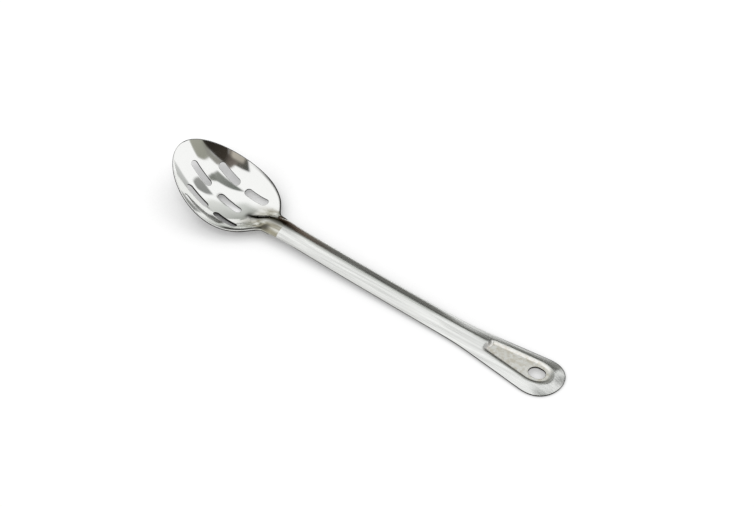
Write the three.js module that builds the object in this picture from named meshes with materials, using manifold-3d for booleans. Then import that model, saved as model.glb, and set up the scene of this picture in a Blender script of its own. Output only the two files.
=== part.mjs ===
// Slotted serving spoon, pressed from one sheet of stainless steel, at rest on a table.
// Millimetres, +Z up, the bowl towards -X and the hanging hole towards +X.
// A point of the sheet is given by its distance from the bowl's tip, along the side view of the rim,
// by its distance from the middle, and by the height that the press gives it above the level of the edges.
import * as THREE from 'three';
import { mergeVertices } from 'three/addons/utils/BufferGeometryUtils.js';
import Module from 'manifold-3d';

const SHEET = 1.2;

// Bowl, along the rim from the tip to where its egg shape would close in the neck
const BOWL_LENGTH = 91.4;
const BOWL_WIDTH = 63.8;
const BOWL_DEPTH = 12.5;
const BOWL_FULLNESS = 0.115;
const NECK_POINTING = 0.17;
const EGG_ROUNDING = 0.02;
const DISH_ROUNDING = 0.3;

// Side view: the slope of the sheet's edge below the level, in degrees, and where it bends at the neck
const TIP_ANGLE = 34;
const SHOULDER_ANGLE = 15;
const NECK_ANGLE = 3;
const END_ANGLE = 0.5;
const BEND_START = 68.7;
const BEND_LENGTH = 11;

// Handle, from the end of the bowl to the rounded end
const HANDLE_LENGTH = 247;
const NECK_WIDTH = 18;
const GRIP_WIDTH = 19.6;
const END_WIDTH = 33;
const END_ROUND = 20.8;
const FLARE_LENGTH = 54;
const FLARE_EASE = 8;
const END_SQUARENESS = 2.27;
const NECK_FILLET = 7;
const NECK_BLEND = 30;
const ARCH_HEIGHT = 5;
const END_ARCH_HEIGHT = 4.2;
const RIDGE_REACH = 22;
const RIDGE_RISE = 33;
const RIDGE_EASE = 1.1;
const RIDGE_TAPER = 0.55;
const RIDGE_SOFTNESS = 1.2;
const CREST_LENGTH = 40;
const CREST_ROUND = 1;

// Recessed panel in the flared end, and its hanging hole
const PANEL_LENGTH = 48;
const PANEL_START_WIDTH = 9.6;
const PANEL_END_WIDTH = 17;
const PANEL_MARGIN = 8;
const PANEL_FLOOR = 2;
const PANEL_WALL = 3.4;
const PANEL_RAMP = 3.4;
const HOLE_LENGTH = 11.5;
const HOLE_WIDTH = 9.2;
const HOLE_FROM_END = 18;

// Slots: two down the middle and a pair on each side, set between them
const SLOT_LENGTH = 20;
const SLOT_WIDTH = 5.2;
const MIDDLE_SLOTS = [23.7, 52.8];
const SIDE_SLOTS = [36, 62.7];
const SIDE_SLOT_OFFSET = 16.15;

// Where the polish of the bowl ends on the neck, past the bowl's end
const FINISH_LINE = 13;

// Facets
const COLUMNS = 20;
const TIP_ROWS = 26;
const NECK_STEP = 2.4;
const HANDLE_STEP = 11;
const PANEL_STEP = 1.8;
const END_ROWS = 9;
const ARC_SEGMENTS = 8;
const SETTLE_PASSES = 4;

const END = BOWL_LENGTH + HANDLE_LENGTH;
const END_CENTRE = END - END_ROUND;
const FLARE_START = END_CENTRE - FLARE_LENGTH;
const RIDGE_START = BOWL_LENGTH - RIDGE_REACH;
const NECK = BOWL_LENGTH + FINISH_LINE;
const PANEL_END = END - PANEL_MARGIN;
const PANEL_START = PANEL_END - PANEL_LENGTH;

const { abs, cos, hypot, max, min, sin, sqrt } = Math;
const clamp = (value) => min(max(value, 0), 1);
const mix = (from, to, share) => from + (to - from) * share;

// Rises from 0 at one place to 1 at another with no corner.
function ease(from, to, place) {
  const share = clamp((place - from) / (to - from));
  return share * share * (3 - 2 * share);
}

// The positive part of a value, with its corner rounded over a given spread.
function positive(value, spread) {
  return 0.5 * (value + hypot(value, spread));
}

// Side view of the sheet's edge: arcs along the rim, round the bend and along the grip, and a straight end.
const pitchDown = (degrees) => -THREE.MathUtils.degToRad(degrees);
const SIDE_ARCS = [
  { length: BEND_START, from: pitchDown(TIP_ANGLE), to: pitchDown(SHOULDER_ANGLE) },
  { length: BEND_LENGTH, from: pitchDown(SHOULDER_ANGLE), to: pitchDown(NECK_ANGLE) },
  { length: FLARE_START - BEND_START - BEND_LENGTH, from: pitchDown(NECK_ANGLE), to: pitchDown(END_ANGLE) },
  { length: END - FLARE_START, from: pitchDown(END_ANGLE), to: pitchDown(END_ANGLE) },
];

// Place and heading of the edge, from the chords of the arcs passed so far.
function sideView(along) {
  const place = { x: 0, z: 0, pitch: SIDE_ARCS[0].from };
  let left = along;
  for (const arc of SIDE_ARCS) {
    const run = min(left, arc.length);
    const turn = (arc.to - arc.from) * run / arc.length;
    const chord = turn === 0 ? run : run * sin(turn / 2) / (turn / 2);
    place.x += chord * cos(arc.from + turn / 2);
    place.z += chord * sin(arc.from + turn / 2);
    place.pitch = arc.from + turn;
    left -= run;
    if (left <= 0) break;
  }
  return place;
}

// 1 where the bowl runs into the neck, fading to 0 on both sides of it.
function nearNeck(along) {
  return 1 - ease(0, NECK_BLEND, abs(along - BOWL_LENGTH));
}

// Place along the bowl, from -1 at the tip to 1 where the egg closes.
function bowlShare(along) {
  return 2 * along / BOWL_LENGTH - 1;
}

// An ellipse made fuller towards the neck, and more pointed where it runs into it.
function eggHalfWidth(along) {
  const share = bowlShare(along);
  const room = positive(1 - share * share, EGG_ROUNDING * nearNeck(along));
  const power = 0.5 + NECK_POINTING * clamp(share) ** 2;
  return BOWL_WIDTH / 2 * (1 + BOWL_FULLNESS * share) * max(room, 0) ** power;
}

function handleHalfWidth(along) {
  const grip = mix(NECK_WIDTH, GRIP_WIDTH, clamp((along - NECK) / (FLARE_START - NECK))) / 2;
  const flare = (END_WIDTH - GRIP_WIDTH) / 2 / FLARE_LENGTH;
  return grip + flare * positive(along - FLARE_START, FLARE_EASE);
}

// The larger of bowl and handle, with a fillet where they meet.
function sideHalfWidth(along) {
  const handle = handleHalfWidth(along);
  return handle + positive(eggHalfWidth(along) - handle, NECK_FILLET * nearNeck(along));
}

function endRounding(along, end) {
  return max((along - END_CENTRE) / (end - END_CENTRE), 0) ** END_SQUARENESS;
}

// Half the width of the sheet, closing to nothing at the tip and at the rounded end.
function halfWidth(along) {
  const width = along < BOWL_LENGTH / 2 ? eggHalfWidth(along) : sideHalfWidth(along);
  return width * sqrt(max(1 - endRounding(along, END), 0));
}

// Depth of the bowl below the level of its edge: a dish, steepest at the rim, that runs out at the neck.
function dishHeight(along, across) {
  const share = bowlShare(along);
  const reach = BOWL_WIDTH / 2 * (1 + BOWL_FULLNESS * min(share, 1));
  const spread = DISH_ROUNDING * nearNeck(along);
  const room = (offset) => positive(1 - share * share - (offset / reach) ** 2, spread);
  return BOWL_DEPTH * (room(halfWidth(along)) - room(across));
}

// How far along the panel's ramp a place is, from 0 on the arch to 1 on the panel.
function rampShare(along) {
  return ease(PANEL_START - PANEL_RAMP / 2, PANEL_START + PANEL_RAMP / 2, along);
}

// Fall of the arch from crest to foot, 0 to 1: round along the grip, and a roof with a crest by the panel.
function archFall(along, across, reach) {
  const round = (across / reach) ** 2;
  const roof = (hypot(across, CREST_ROUND) - CREST_ROUND) / (hypot(reach, CREST_ROUND) - CREST_ROUND);
  const sharpened = ease(FLARE_START - CREST_LENGTH, FLARE_START, along);
  const rounded = ease(FLARE_START, END_CENTRE, along);
  return mix(round, roof, sharpened - rounded);
}

// The handle's arch, which runs on into the bowl as a ridge that narrows to a point.
function archHeight(along, across) {
  if (along <= RIDGE_START) return 0;
  const pointed = NECK_WIDTH / 2 * clamp((along - RIDGE_START) / RIDGE_REACH) ** RIDGE_TAPER;
  const joined = ease(BOWL_LENGTH, NECK, along);
  const reach = mix(pointed, sideHalfWidth(along), joined);
  const room = 1 - archFall(along, across, reach) - endRounding(along, END);
  const rise = 1 - (1 - clamp((along - RIDGE_START) / RIDGE_RISE)) ** RIDGE_EASE;
  const crown = mix(ARCH_HEIGHT, END_ARCH_HEIGHT, ease(FLARE_START, END_CENTRE, along));
  return rise * crown * max(room, 0) ** mix(RIDGE_SOFTNESS, 1, joined);
}

// 1 on the floor of the recessed panel, 0 outside it, and between them on its walls.
function panelShare(along, across) {
  const passed = clamp((along - PANEL_START) / (END_CENTRE - PANEL_START));
  const reach = mix(PANEL_START_WIDTH, PANEL_END_WIDTH, passed) / 2;
  const level = sqrt((across / reach) ** 2 + endRounding(along, PANEL_END));
  const side = ease(-PANEL_WALL / 2, PANEL_WALL / 2, (1 - level) * reach);
  return side * rampShare(along);
}

function sheetPoint(along, across) {
  const { x, z, pitch } = sideView(along);
  const arch = archHeight(along, across);
  const pressed = mix(arch, PANEL_FLOOR, panelShare(along, across));
  const height = dishHeight(along, across) + pressed;
  return new THREE.Vector3(x - height * sin(pitch), across, z + height * cos(pitch));
}

// Upward normal of the sheet, from differences taken just inside its edge.
function sheetNormal(along, across) {
  const step = SHEET / 20;
  const place = min(max(along, 4 * step), END - 4 * step);
  const room = max(halfWidth(place) - 2 * step, step);
  const offset = min(max(across, -room), room);
  const forward = sheetPoint(place + step, offset).sub(sheetPoint(place - step, offset));
  const sideways = sheetPoint(place, offset + step).sub(sheetPoint(place, offset - step));
  return forward.cross(sideways).normalize();
}

// Rows of facets: close at the tip and the end, where the outline turns fast, and wide along the plain grip.
function stations() {
  const rows = [];
  for (let i = 0; i <= TIP_ROWS; i += 1) rows.push(RIDGE_START * (1 - cos(i / TIP_ROWS * Math.PI / 2)));
  const spread = (to, step) => {
    const from = rows.at(-1);
    const count = Math.ceil((to - from) / step);
    for (let i = 1; i <= count; i += 1) rows.push(mix(from, to, i / count));
  };
  spread(NECK + NECK_STEP, NECK_STEP);
  spread(PANEL_START - PANEL_RAMP, HANDLE_STEP);
  spread(END_CENTRE, PANEL_STEP);
  for (let i = 1; i <= END_ROWS; i += 1) rows.push(END_CENTRE + END_ROUND * sin(i / END_ROWS * Math.PI / 2));
  return rows;
}

// The pressed sheet as one closed skin: its upper face, the same face one thickness lower, and the cut edge.
function sheetGeometry() {
  const points = [];
  const upper = [];
  const lower = [];
  for (const along of stations()) {
    const half = halfWidth(along);
    const closed = half < SHEET / 100;
    const above = [];
    const below = [];
    for (let j = 0; j <= COLUMNS; j += 1) {
      if (j === 0 || !closed) {
        const across = half * (2 * j / COLUMNS - 1);
        const top = sheetPoint(along, across);
        points.push(top, top.clone().addScaledVector(sheetNormal(along, across), -SHEET));
      }
      above.push(points.length - 2);
      below.push(points.length - 1);
    }
    upper.push(above);
    lower.push(below);
  }
  const triangles = [];
  const triangle = (a, b, c) => {
    if (a !== b && b !== c && c !== a) triangles.push(a, b, c);
  };
  const quad = (a, b, c, d) => {
    triangle(a, b, c);
    triangle(a, c, d);
  };
  for (let i = 0; i + 1 < upper.length; i += 1) {
    for (let j = 0; j < COLUMNS; j += 1) {
      quad(upper[i][j], upper[i + 1][j], upper[i + 1][j + 1], upper[i][j + 1]);
      quad(lower[i][j], lower[i][j + 1], lower[i + 1][j + 1], lower[i + 1][j]);
    }
    quad(upper[i][0], lower[i][0], lower[i + 1][0], upper[i + 1][0]);
    quad(upper[i][COLUMNS], upper[i + 1][COLUMNS], lower[i + 1][COLUMNS], lower[i][COLUMNS]);
  }
  const geometry = new THREE.BufferGeometry().setFromPoints(points);
  geometry.setIndex(triangles);
  return geometry;
}

// A punch with round ends, standing square to the edge's level at a place on the sheet.
function punchGeometry(along, across, length, width) {
  const radius = width / 2;
  const straight = (length - width) / 2;
  const shape = new THREE.Shape();
  shape.absarc(straight, 0, radius, -Math.PI / 2, Math.PI / 2);
  shape.absarc(-straight, 0, radius, Math.PI / 2, 3 * Math.PI / 2);
  shape.closePath();
  const travel = BOWL_DEPTH + SHEET;
  const settings = { depth: 2 * travel, bevelEnabled: false, curveSegments: ARC_SEGMENTS };
  const { pitch } = sideView(along);
  const place = new THREE.Matrix4().makeRotationY(-pitch).setPosition(sheetPoint(along, across));
  return new THREE.ExtrudeGeometry(shape, settings).translate(0, 0, -travel).applyMatrix4(place);
}

// The turn and lift that put the spoon on the table, standing on its bowl and on its handle's end.
function standing(geometry) {
  const spoon = geometry.clone();
  const total = new THREE.Matrix4();
  const apply = (matrix) => {
    spoon.applyMatrix4(matrix);
    total.premultiply(matrix);
  };
  const lowest = (from, to) => {
    const found = new THREE.Vector3(0, 0, Infinity);
    const point = new THREE.Vector3();
    for (let i = 0; i < spoon.attributes.position.count; i += 1) {
      point.fromBufferAttribute(spoon.attributes.position, i);
      if (point.x >= from && point.x <= to && point.z < found.z) found.copy(point);
    }
    return found;
  };
  for (let pass = 0; pass < SETTLE_PASSES; pass += 1) {
    const bowl = lowest(-Infinity, BOWL_LENGTH);
    const end = lowest(BOWL_LENGTH, Infinity);
    apply(new THREE.Matrix4().makeRotationY(Math.atan2(end.z - bowl.z, end.x - bowl.x)));
  }
  spoon.computeBoundingBox();
  const box = spoon.boundingBox;
  apply(new THREE.Matrix4().makeTranslation(-(box.min.x + box.max.x) / 2, 0, -box.min.z));
  return total;
}

const wasm = await Module();
wasm.setup();

function toSolid(geometry) {
  const bare = geometry.clone();
  bare.deleteAttribute('normal');
  bare.deleteAttribute('uv');
  const merged = mergeVertices(bare);
  const vertProperties = new Float32Array(merged.attributes.position.array);
  const triVerts = new Uint32Array(merged.index.array);
  return new wasm.Manifold(new wasm.Mesh({ numProp: 3, vertProperties, triVerts }));
}

function toMesh(solid, name, material) {
  const { vertProperties, triVerts } = solid.getMesh();
  const geometry = new THREE.BufferGeometry();
  geometry.setAttribute('position', new THREE.BufferAttribute(vertProperties, 3));
  geometry.setIndex(new THREE.BufferAttribute(triVerts, 1));
  geometry.computeVertexNormals();
  const mesh = new THREE.Mesh(geometry, material);
  mesh.name = name;
  return mesh;
}

const sheet = sheetGeometry();
const stand = standing(sheet);
const spoon = toSolid(sheet.applyMatrix4(stand));
const punch = (...sizes) => toSolid(punchGeometry(...sizes).applyMatrix4(stand));

// Everything past the finish line on the neck, as a block with a square face there.
function handleSpace() {
  const finish = sheetPoint(NECK, 0).applyMatrix4(stand);
  const block = new THREE.BoxGeometry(2 * END, 2 * END, 2 * END);
  return toSolid(block.translate(finish.x + END, 0, 0));
}

function makeBowl() {
  let solid = spoon.subtract(handleSpace());
  const slot = (along, across) => punch(along, across, SLOT_LENGTH, SLOT_WIDTH);
  for (const along of MIDDLE_SLOTS) solid = solid.subtract(slot(along, 0));
  for (const along of SIDE_SLOTS) {
    solid = solid.subtract(slot(along, SIDE_SLOT_OFFSET));
    solid = solid.subtract(slot(along, -SIDE_SLOT_OFFSET));
  }
  const polished = new THREE.MeshStandardMaterial({ color: 0xd6d8d4, metalness: 1, roughness: 0.08 });
  return toMesh(solid, 'bowl', polished);
}

function makeHandle() {
  const hole = punch(END - HOLE_FROM_END, 0, HOLE_LENGTH, HOLE_WIDTH);
  const solid = spoon.intersect(handleSpace()).subtract(hole);
  const satin = new THREE.MeshStandardMaterial({ color: 0xc3c3bc, metalness: 1, roughness: 0.35 });
  return toMesh(solid, 'handle', satin);
}

const servingSpoon = new THREE.Group();
servingSpoon.add(makeBowl(), makeHandle());

export default servingSpoon;
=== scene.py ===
"""Slotted serving spoon, dressed over its CAD frame.

The spoon is one pressing of steel sheet. Its upper face is a function of two lengths: along, the distance
from the bowl's tip in the side view of the rim, and across, the distance from the middle. The polished bowl
and the satin handle are cut from that one surface, so they meet on the neck without a step.
"""
import math

import bpy
import numpy as np
from bpy.props import FloatProperty, FloatVectorProperty, PointerProperty
from bpy.types import Operator, Panel, PropertyGroup
from mathutils import Matrix, Vector
from mathutils.geometry import delaunay_2d_cdt


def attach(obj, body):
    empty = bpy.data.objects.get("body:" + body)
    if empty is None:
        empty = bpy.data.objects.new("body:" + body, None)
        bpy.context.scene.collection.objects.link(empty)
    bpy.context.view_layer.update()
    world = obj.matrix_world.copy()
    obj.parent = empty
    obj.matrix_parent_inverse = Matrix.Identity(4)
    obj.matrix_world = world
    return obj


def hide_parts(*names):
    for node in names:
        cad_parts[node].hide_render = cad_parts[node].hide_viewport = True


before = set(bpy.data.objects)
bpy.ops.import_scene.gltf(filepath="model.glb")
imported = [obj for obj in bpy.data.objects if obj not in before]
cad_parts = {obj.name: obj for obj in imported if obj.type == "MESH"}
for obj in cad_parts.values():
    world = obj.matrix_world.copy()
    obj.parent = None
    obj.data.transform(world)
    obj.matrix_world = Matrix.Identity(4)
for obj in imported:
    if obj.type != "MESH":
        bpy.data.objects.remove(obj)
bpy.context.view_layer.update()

bl_info = {
    "name": "Slotted Serving Spoon",
    "version": (1, 0, 0),
    "blender": (4, 5, 0),
    "location": "View3D > Sidebar > Spoon",
    "description": "A spoon pressed from steel sheet, with a polished slotted bowl and a satin handle",
    "category": "Object",
}

MM = 0.001
WHITE = (1.0, 1.0, 1.0, 1.0)

# Form of the bowl and of the side view of its edge
BOWL_FULLNESS = 0.115
NECK_POINTING = 0.17
EGG_ROUNDING = 0.02
DISH_ROUNDING = 0.3
TIP_ANGLE = 34.0
SHOULDER_ANGLE = 15.0
NECK_ANGLE = 3.0
END_ANGLE = 0.5
BEND_START = 68.7 * MM
BEND_LENGTH = 11 * MM

# Form of the neck, the arched handle and its panel
NECK_FILLET = 7 * MM
NECK_BLEND = 30 * MM
RIDGE_REACH = 22 * MM
RIDGE_POINT = 1e-4
RIDGE_RISE = 33 * MM
RIDGE_EASE = 1.1
RIDGE_TAPER = 0.55
RIDGE_SOFTNESS = 1.2
CREST_LENGTH = 40 * MM
CREST_ROUND = 1 * MM
FLARE_EASE = 8 * MM
END_SQUARENESS = 2.27
PANEL_WALL = 3.4 * MM
PANEL_RAMP = 3.4 * MM

# Form of the cut edges, as the power of a superellipse
RIM_SQUARENESS = 2.0
HOLE_SQUARENESS = 3.0

# Painted shade: a dark colour laid where the steel shows shade and dark reflections, which also darkens the
# raw cut edges
PAINTED_SHADE_AND_RAW_EDGE = (0.03, 0.028, 0.024, 1.0)

# Painted shade in the crease beside the ridge, for its shade and dark reflection: its run, which is where it
# starts, is full, fades and ends, and its offset, width and share before and after its turn
CREASE_RUN = (66 * MM, 70 * MM, 100 * MM, 124 * MM)
CREASE_TURN = (76 * MM, 98 * MM)
CREASE_OFFSETS = (0.6 * MM, 1.6 * MM)
CREASE_WIDTHS = (2.8 * MM, 4.0 * MM)
CREASE_SHARES = (0.95, 0.88)

# On the cut edges, partly raw shear and partly painted shade for dark reflections: the shares of the depth
# where it starts and is full, and by how much it starts higher on slots and hole, and, as painted shade, on
# the far side and on the handle some way past the neck
RAW_AND_SHADE_DEPTHS = (0.25, 0.45)
SLOT_RAW_AND_SHADE = 0.45
FAR_PAINTED_SHADE = 0.4
FAR_SIDE = (-2 * MM, 2 * MM)
HANDLE_PAINTED_SHADE = 0.4
HANDLE_PAINTED_SHADE_RUN = 25 * MM

# Painted shade for the dark reflection inside the far rim, on the bowl and past the flare's start: its span
# from the edge, and where it comes on
RIM_LINE = (0.45 * MM, 1.95 * MM)
RIM_RUN = (36 * MM, 64 * MM)
END_LINE_SHARE = 0.75
END_LINE_RUN = (12 * MM, 30 * MM)

# Painted shade inside the near rim by the neck: its distance from the edge and its width, its run and its
# share
NECK_LINE = (3.4 * MM, 2.4 * MM)
NECK_LINE_RUN = (64 * MM, 72 * MM, 92 * MM, 98 * MM)
NECK_LINE_SHARE = 0.8

# Painted shade on the panel's near wall, where the recess is shaded, and round its end past the hole
WALL_SHARE = 0.5
WALL_SIDES = (-4 * MM, 4 * MM)
WALL_LEAN = 0.8

# Dull places: the neck, hazy, with warm streaks of painted dark olive reflection, and the floor of the panel
NECK_RUN = (64 * MM, 82 * MM)
NECK_SIDES = (9 * MM, 16 * MM)
NECK_PAINTED_DARK = (0.34, 0.32, 0.245, 1.0)
NECK_PAINTED_LIGHT = (0.86, 0.865, 0.82, 1.0)
NECK_HAZE = 0.12
PANEL_TINT = (0.82, 0.775, 0.69, 1.0)
PANEL_LIGHT = (1.0, 0.99, 0.96, 1.0)
PANEL_HAZE = 0.03

# Noises of the materials: scale, stretch along the spoon, and detail
NOISES = {
    "haze": (55.0, 1.0, 3.0),
    "waves": (34.0, 1.0, 1.0),
    "buffing": (900.0, 0.12, 3.0),
    "painted_neck_streaks": (300.0, 0.08, 2.0),
    "streaks": (620.0, 0.02, 4.0),
    "cloud": (30.0, 0.5, 2.0),
    "spots": (420.0, 1.0, 4.0),
    "grain": (400.0, 1.0, 2.0),
}

# Spans of the noises that count, and the factors of colour and roughness that they give
HAZE_SPAN = (0.3, 0.7)
HAZE_TONES = (0.955, 1.0)
HAZE_ROUGHNESS = (0.75, 1.35)
PAINTED_NECK_STREAK_SPAN = (0.38, 0.75)
STREAK_SPAN = (0.32, 0.68)
STREAK_TONES = (0.8, 1.1)
CLOUD_SPAN = (0.6, 1.4)
CLOUD_ROUGHNESS = (0.8, 1.2)
SPOT_SPAN = (0.35, 0.6)
GRAIN_TONES = (0.99, 1.0)

# Strength and height of the reliefs
WAVE_RELIEF = (0.35, 0.12 * MM)
BUFFING_RELIEF = (0.05, 0.05 * MM)
BRUSHING_RELIEF = (0.25, 0.06 * MM)

# Fineness of the meshes
NET_STEP = 0.8 * MM
NET_CLEARANCE = 0.55 * NET_STEP
NET_PARTS = 64
NET_INSIDE = 1
NET_TOLERANCE = 1e-7
OUTLINE_STEP = 0.7 * MM
HOLE_STEP = 0.45 * MM
DENSE = 6000
EDGE_DENSE = 2001
EDGE_ROWS = 8
DIFFERENCE = 0.03 * MM
SETTLE_PASSES = 4
SETTLE_STEPS = (700, 61)
SETTLE_MARGINS = (0.5 * MM, 0.1 * MM)

# Camera, from the photograph's viewing angle
PHOTO_WIDTH = 754
FOCAL_PIXELS = 1488.23
SENSOR = 36.0
CAMERA_AZIMUTH = 41.672
CAMERA_ELEVATION = 40.673
CAMERA_DISTANCE = 1.02824
CAMERA_ROLL = -1.92
CAMERA_TARGET = (-0.006887, 0.027444, 0.0)


def millimetres(name, description, *lengths):
    """Property for one length, or for a row of them."""
    settings = {"name": name, "description": description, "unit": "LENGTH"}
    if len(lengths) == 1:
        return FloatProperty(default=lengths[0] * MM, **settings)
    return FloatVectorProperty(size=len(lengths), default=[length * MM for length in lengths], **settings)


class SpoonSizes(PropertyGroup):
    """Sizes of the pressing."""

    sheet: millimetres("Sheet", "Thickness of the steel", 1.2)
    edge_round: millimetres("Edge round", "Rounding of the cut edge", 0.5)
    slot_round: millimetres("Slot round", "Rounding of the punched edges", 0.3)
    bowl_length: millimetres("Bowl length", "Along the rim, tip to neck", 91.4)
    bowl_width: millimetres("Bowl width", "Width of the egg", 63.8)
    bowl_depth: millimetres("Bowl depth", "Below its rim", 12.5)
    handle_length: millimetres("Handle length", "From the bowl to the end", 247)
    neck_width: millimetres("Neck width", "Handle's width at the bowl", 18)
    grip_width: millimetres("Grip width", "Handle's width before the flare", 19.6)
    end_width: millimetres("End width", "Width of the flared end", 33)
    end_round: millimetres("End round", "Length of the rounded end", 20.8)
    flare_length: millimetres("Flare length", "From the grip to the rounded end", 54)
    arch_height: millimetres("Arch height", "Rise of the grip's arch", 5)
    end_arch_height: millimetres("End arch height", "Rise of the arch at the end", 4.2)
    finish_line: millimetres("Finish line", "Where the polish stops, past the bowl", 13)
    panel_length: millimetres("Panel length", "Length of the recessed panel", 48)
    panel_start_width: millimetres("Panel start width", "Width of the panel at its start", 9.6)
    panel_end_width: millimetres("Panel end width", "Width of the panel at the hole", 17)
    panel_margin: millimetres("Panel margin", "From the panel to the end", 8)
    panel_floor: millimetres("Panel floor", "Height of its floor above the edge", 2)
    hole_length: millimetres("Hole length", "Hanging hole along the handle", 11.5)
    hole_width: millimetres("Hole width", "Hanging hole across the handle", 9.2)
    hole_from_end: millimetres("Hole from end", "From its middle to the end", 18)
    slot_length: millimetres("Slot length", "Length of a slot in the bowl", 20)
    slot_width: millimetres("Slot width", "Width of a slot in the bowl", 5.2)
    side_slot_offset: millimetres("Side slot offset", "From the middle", 16.15)
    middle_slots: millimetres("Middle slots", "Their middles, from the tip", 23.7, 52.8)
    side_slots: millimetres("Side slots", "Their middles, from the tip", 36.0, 62.7)


class SpoonFinish(PropertyGroup):
    """Colour and roughness of the two finishes."""

    polished: FloatVectorProperty(
        name="Polished", description="Mirror polish of the bowl", subtype="COLOR", size=3,
        default=(0.93, 0.935, 0.92), min=0.0, max=1.0)
    satin: FloatVectorProperty(
        name="Satin", description="Brushed finish of the handle", subtype="COLOR", size=3,
        default=(0.83, 0.84, 0.82), min=0.0, max=1.0)
    polished_roughness: FloatProperty(
        name="Polished roughness", description="Roughness of the polish", default=0.07, min=0.0, max=1.0,
        subtype="FACTOR")
    satin_roughness: FloatProperty(
        name="Satin roughness", description="Roughness of the brushing", default=0.27, min=0.0, max=1.0,
        subtype="FACTOR")


class StageSettings(PropertyGroup):
    """Floor and light."""

    floor: FloatVectorProperty(
        name="Floor", description="Colour of the floor", subtype="COLOR", size=3, default=(0.30, 0.30, 0.30),
        min=0.0, max=1.0)
    glow: FloatProperty(name="Glow", description="Lift of the floor to white", default=0.74, min=0.0)
    ambient: FloatProperty(name="Ambient", description="Light from all round", default=0.5, min=0.0)
    key: FloatProperty(name="Key light", description="Strength of the soft sun", default=1.9, min=0.0)


def ease(start, stop, place):
    """0 before start, 1 after stop, and between them 3t² - 2t³ of the share t of the way."""
    share = np.clip((place - start) / (stop - start), 0.0, 1.0)
    return share * share * (3.0 - 2.0 * share)


def positive(value, spread):
    """Positive part of a value, corner rounded: half the sum of it and its hypotenuse with the spread."""
    return 0.5 * (value + np.hypot(value, spread))


def between(first, last, share):
    """The first value, plus a share of the difference to the last."""
    return first + (last - first) * share


def span(run, place):
    """1 along a run, eased in from its first place to its second and out from its third to its fourth."""
    start, full, fades, over = run
    return ease(start, full, place) * (1.0 - ease(fades, over, place))


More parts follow.
